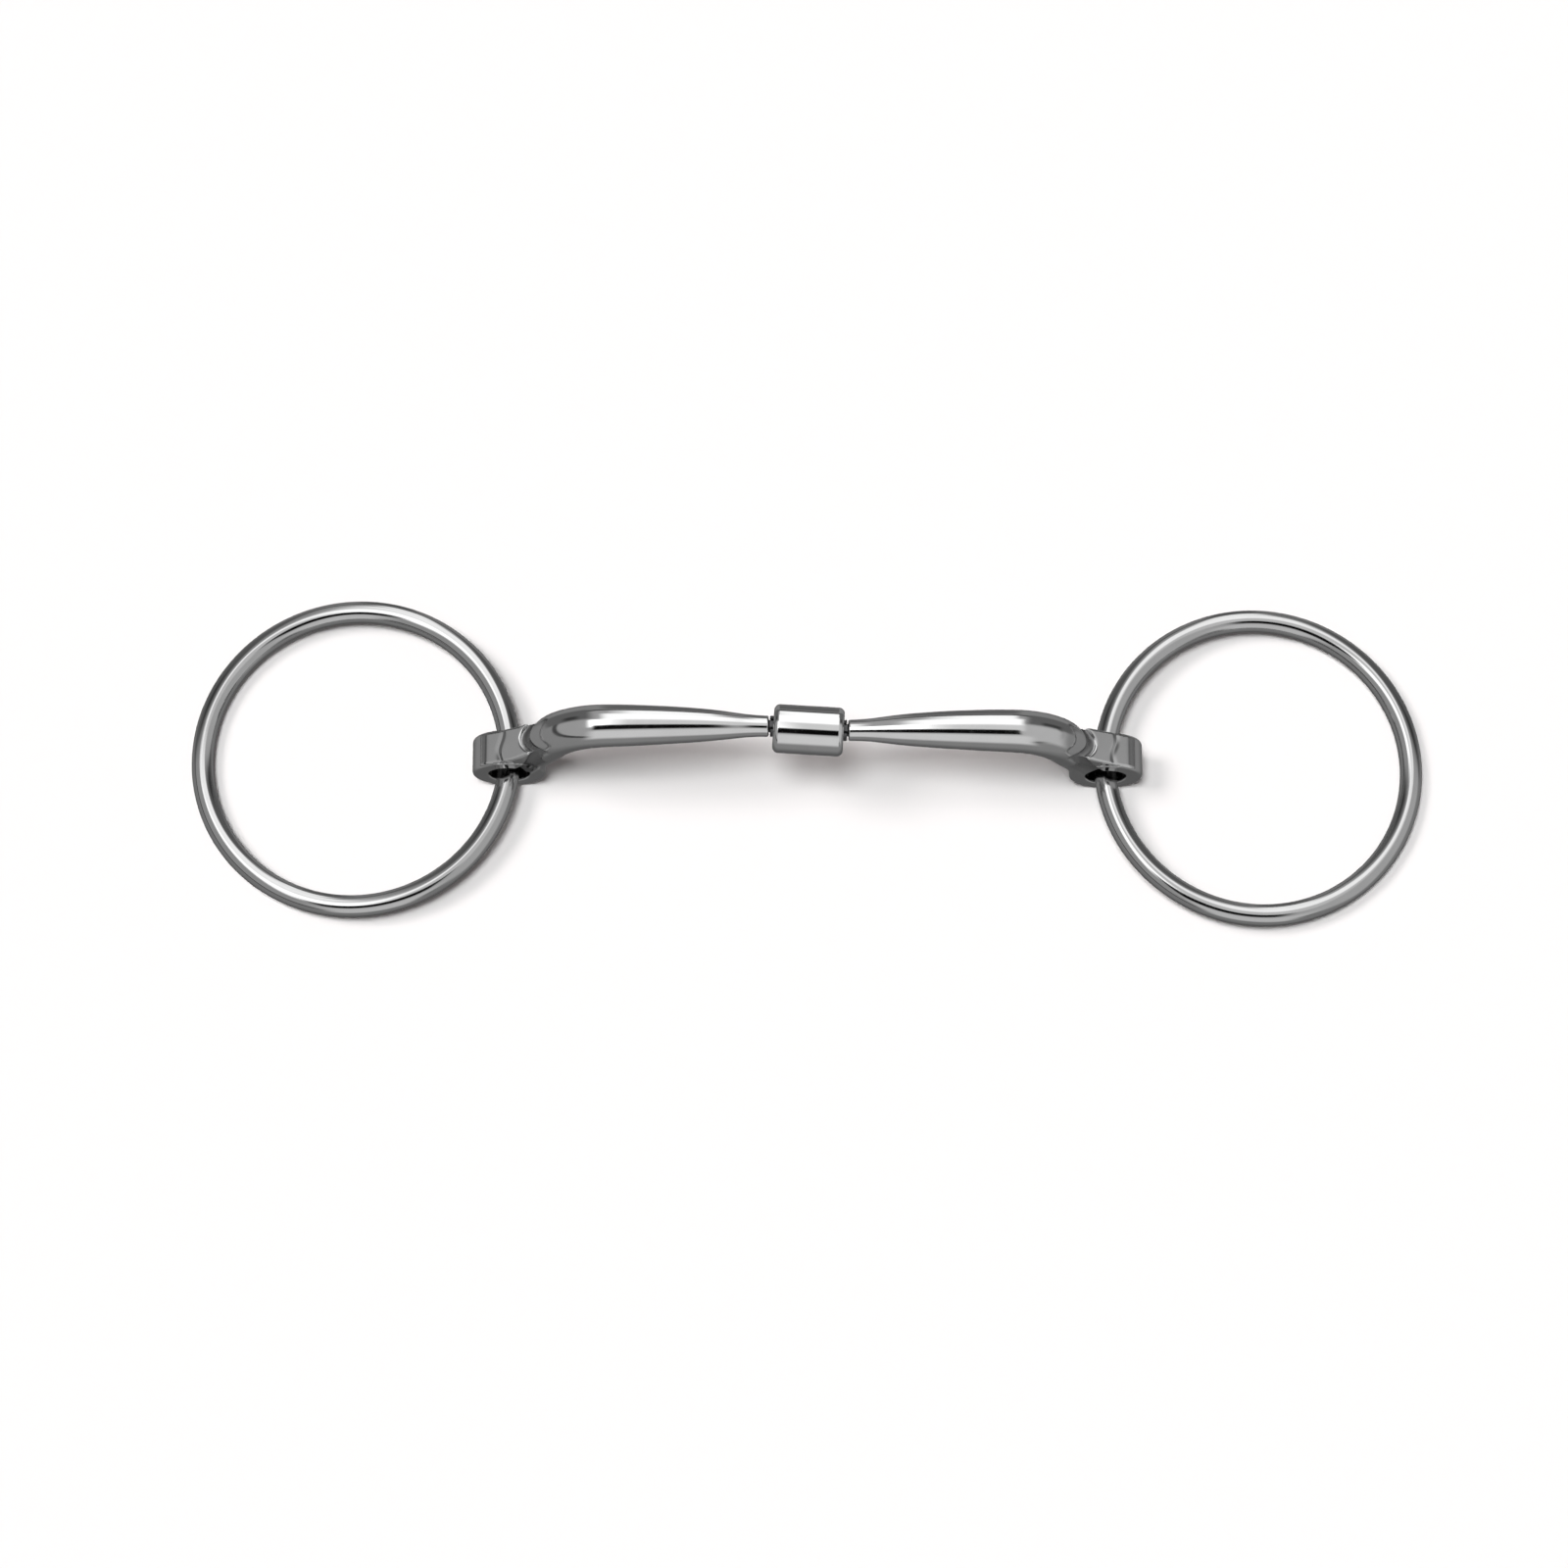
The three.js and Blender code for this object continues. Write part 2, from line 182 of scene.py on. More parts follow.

# Machined metal: colour, stretch of the tool marks.
# The plug's colour is far darker than steel: painted shade for the gap between the barrel's lip and the arm's
# shoulder, where the plug's nose shows.
PLUG_SHADE_DARK_FINISH = ((0.12, 0.12, 0.122), (1, 12, 12))
PIN_FINISH = ((0.45, 0.45, 0.455), (12, 1, 12))
SPACER_FINISH = ((0.6, 0.42, 0.18), (12, 12, 1))
# Steel, then brass: size and share of the stains, size and range of the roughness, size of the tool marks.
STEEL_MACHINING = (0.8 * MM, 0.2, 0.5 * MM, (0.24, 0.42), 0.07 * MM)
BRASS_MACHINING = (0.9 * MM, 0.25, 0.6 * MM, (0.25, 0.45), 0.08 * MM)
STAIN_DETAIL = 5
SATIN_DETAIL = 4
MARK_DETAIL = 2
MARK_DEPTH = 0.004 * MM

# --- The camera -------------------------------------------------------------------------------------------

SENSOR_WIDTH = 36
LENS = 143.57
CAMERA_AZIMUTH = math.radians(-1.355)
CAMERA_ELEVATION = math.radians(72.565)
CAMERA_ROLL = math.radians(1.46)
CAMERA_DISTANCE = 1392 * MM
AIM_RIGHT = -5.13 * MM  # the point aimed at, from the origin, across and up the picture
AIM_UP = -3.64 * MM
CLIP_START = 10 * MM

# --- Light ------------------------------------------------------------------------------------------------

LEAST_LEVEL = 1e-4  # a direction's level part counts as at least this, so that straight up has a place
SKY_LEVEL = 0.5
TABLE_LEVEL = 0.12
# Degrees from straight up, brightness.
HORIZON = ((74, 0.5), (77, 0.07), (82, 0.07), (85, 0.34), (120, 0.32), (150, 0.15))
# Boxes on a map of the sky, later ones over earlier ones. A place is in degrees from straight up, towards +X
# and +Y: middle, half size, turn, softness of the edge, brightness.
SKY_PATCHES = (
    ((50, -22), (34, 42), 0, 12, 0.68),
    ((4, -66), (30, 24), 0, 9, 0.9),
    ((-58, 56), (34, 32), 0, 7, 0.17),
    ((62, 54), (36, 30), 0, 7, 0.17),
    ((-52, 40), (10, 9), 0, 6, 0.06),
    ((62, 36), (14, 8), 0, 5, 0.07),
    ((3, 108), (12, 20), 0, 5, 0.165),
    ((8, 2), (16, 18), 0, 5, 0.95),
    ((5, 34), (16, 18), 0, 5, 1.75),
    ((5, 61), (9, 13), 0, 4, 1.65),
    ((-17, -2), (11, 20), 0, 5, 2.4),
    ((-2, -25), (20, 12), 4, 3, 0.004),
)
# Lamps that light the floor: colour, strength, width in degrees, where they shine from on the same map.
LAMPS = {
    "key": ((1, 1, 1), 2.4, 17, (-7, -8)),
    "low": ((1, 0.95, 0.94), 1.45, 20, (-32, 5)),
    "fill": ((1, 0.88, 0.87), 0.45, 170, (0, 0)),
}
FLOOR_REACH = 8
FLOOR_TONE = 0.8
BACKDROP_RADIUS = 7.5
BACKDROP_FINENESS = 4
BACKDROP_LEVEL = 0.9


def smooth(values, spread, step):
    """A row of values blurred by a bell curve; its ends hold their own values."""
    reach = int(BELL_REACH * spread / step)
    weights = np.exp(-0.5 * (np.arange(-reach, reach + 1) * step / spread) ** 2)
    padded = np.pad(values, reach, mode="edge")
    return np.convolve(padded, weights / weights.sum(), mode="valid")


def smoothstep(value, start, end):
    """Goes from 0 to 1 without a corner as the value goes from start to end."""
    share = np.clip((value - start) / (end - start), 0, 1)
    return share * share * (3 - 2 * share)


def blend(first, second, share):
    return first + (second - first) * share


# --- Fields: negative inside, positive outside, close to the distance from the surface --------------------


def round_union(first, second, radius):
    """What lies inside either field, with a fillet between them."""
    overlap = np.hypot(np.maximum(radius - first, 0), np.maximum(radius - second, 0))
    return np.maximum(radius, np.minimum(first, second)) - overlap


def round_cut(first, second, radius):
    """What lies inside both fields, with the edge between them rounded."""
    overlap = np.hypot(np.maximum(radius + first, 0), np.maximum(radius + second, 0))
    return np.minimum(-radius, np.maximum(first, second)) + overlap


class ArmAxis:
    """The arm's axis in the half's XZ plane, measured outward from the shoulder: bow, knee, straight fall."""

    def __init__(self):
        knee_length = KNEE_RADIUS * (ARM_SLOPE - ARM_TILT)
        knee_x = KNEE_RADIUS * (math.sin(ARM_SLOPE) - math.sin(ARM_TILT))
        knee_z = KNEE_RADIUS * (math.cos(ARM_TILT) - math.cos(ARM_SLOPE))
        rise = (AXIS_Z - LOOP_Z - knee_z) / math.sin(ARM_SLOPE)
        bow_x = LOOP_X - ARM_OFFSET - rise * math.cos(ARM_SLOPE) - knee_x - SHOULDER_X
        bow = bow_x * ARM_TILT / math.sin(ARM_TILT)
        self.length = bow + knee_length + rise
        self.along = np.arange(0, self.length + AXIS_STEP, AXIS_STEP)
        corners = (0, bow, bow + knee_length, self.length)
        slope = np.interp(self.along, corners, (-ARM_TILT, ARM_TILT, ARM_SLOPE, ARM_SLOPE))
        self.slope = smooth(slope, KNEE_EASE, AXIS_STEP)
        self.x = SHOULDER_X + self.summed(np.cos(self.slope))
        self.z = AXIS_Z - self.summed(np.sin(self.slope))
        distances, radii = np.array(ROD_PROFILE).T * MM
        radius = np.interp(self.along + SHOULDER_X, distances, radii)
        self.radius = smooth(radius, PROFILE_EASE, AXIS_STEP)

    @staticmethod
    def summed(rates):
        steps = (rates[1:] + rates[:-1]) / 2 * AXIS_STEP
        return np.concatenate(([0], np.cumsum(steps)))

    def nearest(self, x, z):
        """For each point, how far along the axis its nearest place lies, and how far off it is."""
        along = np.interp(x, self.x, self.along)
        for _ in range(NEAREST_PASSES):
            slope = np.interp(along, self.along, self.slope)
            off_x = x - np.interp(along, self.along, self.x)
            off_z = z - np.interp(along, self.along, self.z)
            along = np.clip(along + off_x * np.cos(slope) - off_z * np.sin(slope), 0, self.length)
        off_x = x - np.interp(along, self.along, self.x)
        off_z = z - np.interp(along, self.along, self.z)
        return along, np.hypot(off_x, off_z)


ARM_AXIS = ArmAxis()


def web_field(points, from_foot, loop_shift):
    """The flat-topped web in the outer corner between the loop and the rod; its underside is in the rod."""
    x, y, z = points.T
    out, up = x - LOOP_X, z - LOOP_Z
    top = out * math.sin(WEB_TILT) + up * math.cos(WEB_TILT) - LOOP_RADIUS
    foot = out * math.cos(WEB_TILT) - up * math.sin(WEB_TILT)
    underside = -out * math.sin(ARM_SLOPE) - up * math.cos(ARM_SLOPE) - ARM_OFFSET
    taper = smoothstep(from_foot, *WEB_TAPER)
    side = np.abs(y - loop_shift * (1 - taper)) - blend(LOOP_HALF_WIDTH, WEB_END_HALF_WIDTH, taper)
    return np.maximum(round_cut(top, side, WEB_CORNER), np.maximum(foot, underside))


def rod_and_web(points, loop_shift):
    """The fields of the tapered rod and of the web, and where along the rod the points are."""
    x, y, z = points.T
    along, off_axis = ARM_AXIS.nearest(x, z)
    from_foot = ARM_AXIS.length - along
    radius = np.interp(along, ARM_AXIS.along, ARM_AXIS.radius)
    rod = np.hypot(off_axis, y) - radius
    return rod, web_field(points, from_foot, loop_shift), from_foot, radius


def crease_distance(points, loop_shift):
    """How far points are from the line where the web runs out on the rod."""
    rod, web, _, _ = rod_and_web(points, loop_shift)
    return np.hypot(rod, web)


def ripple(points):
    """The depth of the wavy line across the top of the loop's web."""
    x, y, z = points.T
    wander = RIPPLE_WAVE * np.sin(y / RIPPLE_PITCH)
    line = np.exp(-((x - LOOP_X - RIPPLE_OUT - wander) / RIPPLE_WIDTH) ** 2)
    return RIPPLE_DEPTH * line * smoothstep(z, LOOP_Z, LOOP_Z + LOOP_RADIUS / 2)


def rod_and_loop(points, loop_shift):
    """The forging without its shoulder: the rod, the flat-sided loop, the web between them and the hole."""
    x, y, z = points.T
    rod, web, from_foot, radius = rod_and_web(points, loop_shift)
    off_loop = np.hypot(x - LOOP_X, z - LOOP_Z)
    body = round_union(rod, np.minimum(off_loop - LOOP_RADIUS, web), FILLET) + ripple(points)
    body = round_cut(body, CREASE_DEPTH - np.hypot(rod, web), CREASE_EDGE)
    fade = smoothstep(from_foot, FLAT_END, FLAT_END + FLAT_FADE)
    flat = np.abs(y - loop_shift * (1 - fade)) - blend(LOOP_HALF_WIDTH, radius + FLAT_CLEAR, fade)
    corner = blend(LOOP_CORNER, FLAT_CORNER, smoothstep(from_foot, *CORNER_FADE))
    body = round_cut(body, flat, corner)
    return round_cut(body, HOLE_RADIUS - off_loop, HOLE_RIM)


def tongue_field(points):
    """The flat tongue that reaches into the plug's slot, round at its tip."""
    x, y, z = points.T
    round_end = np.hypot(np.minimum(x - PIN_X, 0), z - AXIS_Z) - TONGUE_HALF_HEIGHT
    tongue = round_cut(round_end, x - SHOULDER_X - TONGUE_HALF_HEIGHT, FINE_EDGE)
    return round_cut(tongue, np.abs(y) - TONGUE_HALF_WIDTH, FINE_EDGE)


def arm_field(points, loop_shift):
    """The whole arm. Its square shoulder stops it at rest, and the relief below lets it fold to its limit."""
    x, _, z = points.T
    square = SHOULDER_X - x
    relief = square * math.cos(FOLD_LIMIT) + (AXIS_Z - z) * math.sin(FOLD_LIMIT)
    body = round_cut(rod_and_loop(points, loop_shift), np.maximum(square, relief), SHOULDER_EDGE)
    body = round_union(body, tongue_field(points), FINE_EDGE)
    return round_cut(body, PIN_RADIUS + CLEARANCE - np.hypot(x - PIN_X, z - AXIS_Z), FINE_EDGE)


def plug_field(points):
    """A swivel plug: head inside the sleeve, nose through its lip, slot for the tongue and a pin hole."""
    x, y, z = points.T
    off_axis = np.hypot(y, z - AXIS_Z)
    head_end = BARREL_HALF_LENGTH - LIP_LENGTH - CLEARANCE
    head = round_cut(off_axis - PLUG_RADIUS, np.maximum(PLUG_START - x, x - head_end), FINE_EDGE)
    nose = round_cut(off_axis - NOSE_RADIUS, np.maximum(PLUG_START - x, x - NOSE_END), FINE_EDGE)
    body = round_union(head, nose, FINE_EDGE)
    body = round_cut(body, np.minimum(SLOT_HALF_WIDTH - np.abs(y), x - SLOT_FLOOR), FINE_EDGE)
    return round_cut(body, PIN_RADIUS + CLEARANCE - np.hypot(x - PIN_X, z - AXIS_Z), FINE_EDGE)


# --- From fields to meshes --------------------------------------------------------------------------------


def to_half(points, side):
    """Points of one side, in the place where the shapes of a half are drawn."""
    turn = 1 if side == "right" else -1
    return points * (turn, turn, 1) - (0, HALF_Y, 0)


def from_half(points, side):
    turn = 1 if side == "right" else -1
    return (points + (0, HALF_Y, 0)) * (turn, turn, 1)


def slope_of(field, points):
    """How fast the field grows along X, Y and Z at each point."""
    steps = np.eye(3) * SLOPE_REACH
    rates = [(field(points + step) - field(points - step)) / (2 * SLOPE_REACH) for step in steps]
    return np.stack(rates, axis=1)


def project(field, points):
    """Points moved onto the field's surface, and the surface's normals there."""
    for _ in range(PROJECT_PASSES):
        slope = slope_of(field, points)
        steepness = np.maximum((slope ** 2).sum(axis=1), LEAST_STEEPNESS)
        move = field(points) / steepness
        points = points - slope * np.clip(move, -ARM_VOXEL, ARM_VOXEL)[:, None]
    normals = slope_of(field, points)
    return points, normals / np.linalg.norm(normals, axis=1)[:, None]


def relax(points, normals, edges):
    """Points moved along the surface towards the middle of their neighbours."""
    count = np.bincount(edges.ravel(), minlength=len(points))
    total = np.zeros_like(points)
    for axis in range(3):
        total[:, axis] += np.bincount(edges[:, 0], points[edges[:, 1], axis], len(points))
        total[:, axis] += np.bincount(edges[:, 1], points[edges[:, 0], axis], len(points))
    move = total / count[:, None] - points
    move -= normals * (move * normals).sum(axis=1)[:, None]
    return points + move * RELAX_SHARE


def remeshed(node, voxel):
    """An even mesh of a CAD node's shape."""
    source = bpy.data.objects.new("remesh_source", frame["nodes"][node].data.copy())
    bpy.context.scene.collection.objects.link(source)
    remesh = source.modifiers.new("even", "REMESH")
    remesh.mode = "VOXEL"
    remesh.voxel_size = voxel
    depsgraph = bpy.context.evaluated_depsgraph_get()
    mesh = bpy.data.meshes.new_from_object(source.evaluated_get(depsgraph))
    bpy.data.objects.remove(source)
    return mesh


def half_points(mesh, side):
    """A mesh's points, in the place where the shapes of a half are drawn."""
    points = np.empty(len(mesh.vertices) * 3)
    mesh.vertices.foreach_get("co", points)
    return to_half(points.reshape(-1, 3), side)


def refined(node, side, field, voxel):
    """A smooth mesh of a field, started from the CAD node that it replaces."""
    mesh = remeshed(node, voxel)
    edges = np.empty(len(mesh.edges) * 2, dtype=np.int32)
    mesh.edges.foreach_get("vertices", edges)
    edges = edges.reshape(-1, 2)
    points, normals = project(field, half_points(mesh, side))
    for _ in range(RELAX_PASSES):
        points, normals = project(field, relax(points, normals, edges))
    mesh.vertices.foreach_set("co", from_half(points, side).ravel())
    mesh.polygons.foreach_set("use_smooth", [True] * len(mesh.polygons))
    mesh.update()
    turn = 1 if side == "right" else -1
    mesh.normals_split_custom_set_from_vertices(normals * (turn, turn, 1))
    return mesh


def mark_polish_and_crease_shade(mesh, side):
    """Marks where a buffing wheel reaches an arm, not the tongue, and paints shade into the crease beside the
    loop.
    """
    points = half_points(mesh, side)
    # painted shade: the crease beside the loop is darkened, fading out over CREASE_SHADE
    off_crease = smoothstep(crease_distance(points, LOOP_SHIFTS[side]), *CREASE_SHADE)
    off_crease = blend(CREASE_UNSHADED_SHARE, 1, off_crease)
    off_tongue = smoothstep(points[:, 0], SHOULDER_X - FINE_EDGE, SHOULDER_X)
    polish_and_crease_shade = mesh.attributes.new("polish_and_crease_shade", "FLOAT", "POINT")
    polish_and_crease_shade.data.foreach_set("value", np.minimum(off_crease, off_tongue))


def grid_mesh(name, rings, looped=True):
    """A closed mesh of rings of points. The last joins the first, or else both ends are capped flat."""
    rings = np.array(rings)
    rows, sides = rings.shape[:2]
    corner = np.arange(rows * sides).reshape(rows, sides)
    right = np.roll(corner, -1, axis=1)
    faces = np.stack([corner, right, np.roll(right, -1, axis=0), np.roll(corner, -1, axis=0)], axis=2)
    faces = faces if looped else faces[:-1]
    caps = [] if looped else [corner[0, ::-1].tolist(), corner[-1].tolist()]
    mesh = bpy.data.meshes.new(name)
    mesh.from_pydata(rings.reshape(-1, 3).tolist(), [], faces.reshape(-1, 4).tolist() + caps)
    mesh.polygons.foreach_set("use_smooth", [True] * len(mesh.polygons))
    mesh.update()
    return mesh


def turned_mesh(name, profile, sides, looped):
    """A profile of (radius, place along X) turned round the X axis: a tube if looped, else a solid."""
    angles = np.arange(sides) * 2 * math.pi / sides
    circle = np.stack([np.cos(angles), np.sin(angles)], axis=1)
    rings = [[(x, *(radius * spoke)) for spoke in circle] for radius, x in profile]
    return grid_mesh(name, rings, looped)


def arc(radius_at, x_at, radius, start, end):
    """Points of a rounded corner of a profile, its angles in degrees from the outward radius towards +X."""
    angles = np.radians(np.linspace(start, end, CORNER_STEPS + 1))
    return [(radius_at + radius * math.cos(angle), x_at + radius * math.sin(angle)) for angle in angles]


def mirrored(profile):
    """The same profile on the other side of the middle plane, in the order that goes on from it."""
    return [(radius, -x) for radius, x in reversed(profile)]


# --- Meshes -----------------------------------------------------------------------------------------------


def ring_mesh(side):
    """The wire ring, laid down tilted from its loop to the table."""
    swing = Vector(JOINTS[f"{side}_ring_swing"]["pos_m"])
    turn = math.pi if side == "left" else RIGHT_YAW
    place = Matrix.Translation(swing) @ Matrix.Rotation(turn, 4, "Z") @ Matrix.Rotation(RING_TILT, 4, "Y")
    around = np.arange(RING_STEPS) * 2 * math.pi / RING_STEPS
    about = np.arange(RING_SIDES) * 2 * math.pi / RING_SIDES
    rings = []
    out = RING_RADIUS + WIRE_RADIUS * np.cos(about)
    up = WIRE_RADIUS * np.sin(about)
    for angle in around:
        points = zip(RING_RADIUS + out * math.cos(angle), out * math.sin(angle), up)
        rings.append([place @ Vector(point) for point in points])
    return grid_mesh(f"{side}_ring_wire", rings)


def in_barrel(mesh):
    """The mesh moved from the origin to the barrel's place, and turned as the barrel lies."""
    mesh.transform(Matrix.Translation((0, BARREL_Y, AXIS_Z)) @ Matrix.Rotation(BARREL_COCK, 4, "Z"))
    return mesh


def sleeve_mesh():
    """The barrel's tube, with round outer corners and a lip at each end that holds a plug."""
    edge = BARREL_HALF_LENGTH - BARREL_CORNER
    inner = BARREL_HALF_LENGTH - LIP_LENGTH
    corner = BARREL_RADIUS - BARREL_CORNER
    half = [
        *arc(corner, edge, BARREL_CORNER, 0, 90),
        *arc(LIP_RADIUS + LIP_EDGE, BARREL_HALF_LENGTH - LIP_EDGE, LIP_EDGE, 90, 180),
        *arc(LIP_RADIUS + LIP_EDGE, inner + LIP_EDGE, LIP_EDGE, 180, 270),
        (BORE_RADIUS, inner),
    ]
    return in_barrel(turned_mesh("barrel_shell", half + mirrored(half), TURNED_SIDES, looped=True))


def disc_mesh(name, radius, half_length, sides):
    """A solid turned cylinder along X with finely rounded ends."""
    end = arc(radius - FINE_EDGE, half_length - FINE_EDGE, FINE_EDGE, 0, 90)
    return turned_mesh(name, mirrored(end) + end, sides, looped=False)


def pin_mesh(side):
    """A ground cross pin, across the plug."""
    half_length = math.sqrt(PLUG_RADIUS ** 2 - PIN_RADIUS ** 2) - PIN_SINK
    mesh = disc_mesh(f"{side}_pin", PIN_RADIUS, half_length, PIN_SIDES)
    x, y, z = JOINTS[f"{side}_fold"]["pos_m"]
    mesh.transform(Matrix.Translation((x, y, z)) @ Matrix.Rotation(math.pi / 2, 4, "Z"))
    return mesh


def spacer_mesh():
    """The disc that keeps the two plugs apart."""
    return in_barrel(disc_mesh("spacer_disc", PLUG_RADIUS, PLUG_START - CLEARANCE, TURNED_SIDES))


# --- Materials --------------------------------------------------------------------------------------------


class Surface:
    """A metal whose roughness, tone and relief come from noise over the piece's own coordinates."""

    def __init__(self, name, color, metallic=1):
        self.material = bpy.data.materials.new(name)
        self.material.use_nodes = True
        self.tree = self.material.node_tree
        self.shader = self.tree.nodes["Principled BSDF"]
        self.shader.inputs["Metallic"].default_value = metallic
        self.color = color
        self.coordinates = self.tree.nodes.new("ShaderNodeTexCoord").outputs["Object"]
        self.relief = None

    def noise(self, size, detail, stretch=(1, 1, 1)):
        """Noise whose features are about this size, in metres, stretched along the axes."""
        mapping = self.tree.nodes.new("ShaderNodeMapping")
        mapping.inputs["Scale"].default_value = [1 / (size * share) for share in stretch]
        texture = self.tree.nodes.new("ShaderNodeTexNoise")
        texture.inputs["Scale"].default_value = 1
        texture.inputs["Detail"].default_value = detail
        self.tree.links.new(self.coordinates, mapping.inputs["Vector"])
        self.tree.links.new(mapping.outputs["Vector"], texture.inputs["Vector"])
        return texture.outputs["Fac"]

    def spread(self, value, low, high):
        """A noise value spread over a range of numbers."""
        node = self.tree.nodes.new("ShaderNodeMapRange")
        node.inputs["From Min"].default_value, node.inputs["From Max"].default_value = NOISE_BAND
        node.inputs["To Min"].default_value, node.inputs["To Max"].default_value = low, high
        self.tree.links.new(value, node.inputs["Value"])
        return node.outputs["Result"]

    def tint(self, value, share):
        """The colour, darkened by up to a share where the noise is low."""
        mix = self.tree.nodes.new("ShaderNodeMix")
        mix.data_type = "RGBA"
        mix.inputs["A"].default_value = [level * (1 - share) for level in self.color] + [1]
        mix.inputs["B"].default_value = [*self.color, 1]
        self.tree.links.new(self.spread(value, 0, 1), mix.inputs["Factor"])
        self.tree.links.new(mix.outputs["Result"], self.shader.inputs["Base Color"])

    def rough(self, value, low, high):
        """The roughness, from low to high with the noise."""
        self.tree.links.new(self.spread(value, low, high), self.shader.inputs["Roughness"])

    def darken_bare_and_crease_shade(self):
        """Darker and rougher where the mesh's value is low: bare steel on the tongue, painted shade in the
        crease.
        """
        polish_and_shade_attribute = self.tree.nodes.new("ShaderNodeAttribute")
        polish_and_shade_attribute.attribute_name = "polish_and_crease_shade"
        polish_and_crease_shade = polish_and_shade_attribute.outputs["Fac"]
        for name, bare_and_shade_value in (("Base Color", (*BARE_AND_CREASE_SHADE_COLOR, 1)), ("Roughness", (BARE_ROUGHNESS,) * 3 + (1,))):
            mix = self.tree.nodes.new("ShaderNodeMix")
            mix.data_type = "RGBA"
            mix.inputs["A"].default_value = bare_and_shade_value
            self.tree.links.new(polish_and_crease_shade, mix.inputs["Factor"])
            self.tree.links.new(self.shader.inputs[name].links[0].from_socket, mix.inputs["B"])
            self.tree.links.new(mix.outputs["Result"], self.shader.inputs[name])

    def emboss(self, value, height):
        """Adds relief of about this height, in metres, over any added before."""
        bump = self.tree.nodes.new("ShaderNodeBump")
        bump.inputs["Strength"].default_value = 1
        bump.inputs["Distance"].default_value = height
        self.tree.links.new(value, bump.inputs["Height"])
        if self.relief:
            self.tree.links.new(self.relief, bump.inputs["Normal"])
        self.relief = bump.outputs["Normal"]
        self.tree.links.new(self.relief, self.shader.inputs["Normal"])


def polished_steel(name, finish, bare_and_crease_shade_places=False):
    """Buffed stainless steel: faint hand-polishing waves, smudges and fine buffing lines along the mouth."""
    color, roughness, wave_depth = finish
    surface = Surface(name, color)
    surface.tint(surface.noise(CLOUD_SIZE, CLOUD_DETAIL), CLOUD_SHARE)
    surface.rough(surface.noise(SMUDGE_SIZE, SMUDGE_DETAIL), *roughness)
    surface.emboss(surface.noise(WAVE_SIZE, WAVE_DETAIL), wave_depth)
    surface.emboss(surface.noise(BUFFING_SIZE, BUFFING_DETAIL, BUFFING_STRETCH), BUFFING_DEPTH)
    # on the arms: bare steel on the tongue and painted shade in the crease beside the loop
    if bare_and_crease_shade_places:
        surface.darken_bare_and_crease_shade()
    return surface.material


def machined_metal(name, finish, machining):
    """Turned or ground metal that was left unpolished: even tool marks and a stained, satin tone."""
    color, stretch = finish
    stain_size, stain_share, satin_size, roughness, mark_size = machining
    surface = Surface(name, color)
    surface.tint(surface.noise(stain_size, STAIN_DETAIL), stain_share)
    surface.rough(surface.noise(satin_size, SATIN_DETAIL), *roughness)
    surface.emboss(surface.noise(mark_size, MARK_DETAIL, stretch), MARK_DEPTH)
    return surface.material


# --- Stage ------------------------------------------------------------------------------------------------


def patch_mask(tree, position, centre, half, turn, softness):
    """1 inside a soft-edged box on the map of the sky, 0 outside; all in degrees from straight up."""
    mapping = tree.nodes.new("ShaderNodeMapping")
    mapping.vector_type = "TEXTURE"
    mapping.inputs["Location"].default_value = (*centre, 0)
    mapping.inputs["Rotation"].default_value = (0, 0, math.radians(turn))
    magnitude = tree.nodes.new("ShaderNodeVectorMath")
    magnitude.operation = "ABSOLUTE"
    fade = tree.nodes.new("ShaderNodeMapRange")
    fade.data_type = "FLOAT_VECTOR"
    fade.interpolation_type = "SMOOTHSTEP"
    limits = {socket.identifier: socket for socket in fade.inputs}
    limits["From_Min_FLOAT3"].default_value = (half[0] - softness, half[1] - softness, -1)
    limits["From_Max_FLOAT3"].default_value = (half[0] + softness, half[1] + softness, 1)
    limits["To_Min_FLOAT3"].default_value = (1, 1, 1)
    limits["To_Max_FLOAT3"].default_value = (0, 0, 0)
    axes = tree.nodes.new("ShaderNodeSeparateXYZ")
    product = tree.nodes.new("ShaderNodeMath")
    product.operation = "MULTIPLY"
    tree.links.new(position, mapping.inputs["Vector"])
    tree.links.new(mapping.outputs["Vector"], magnitude.inputs[0])
    tree.links.new(magnitude.outputs["Vector"], limits["Vector"])
    tree.links.new(fade.outputs["Vector"], axes.inputs["Vector"])
    tree.links.new(axes.outputs["X"], product.inputs[0])
    tree.links.new(axes.outputs["Y"], product.inputs[1])
    return product.outputs["Value"]


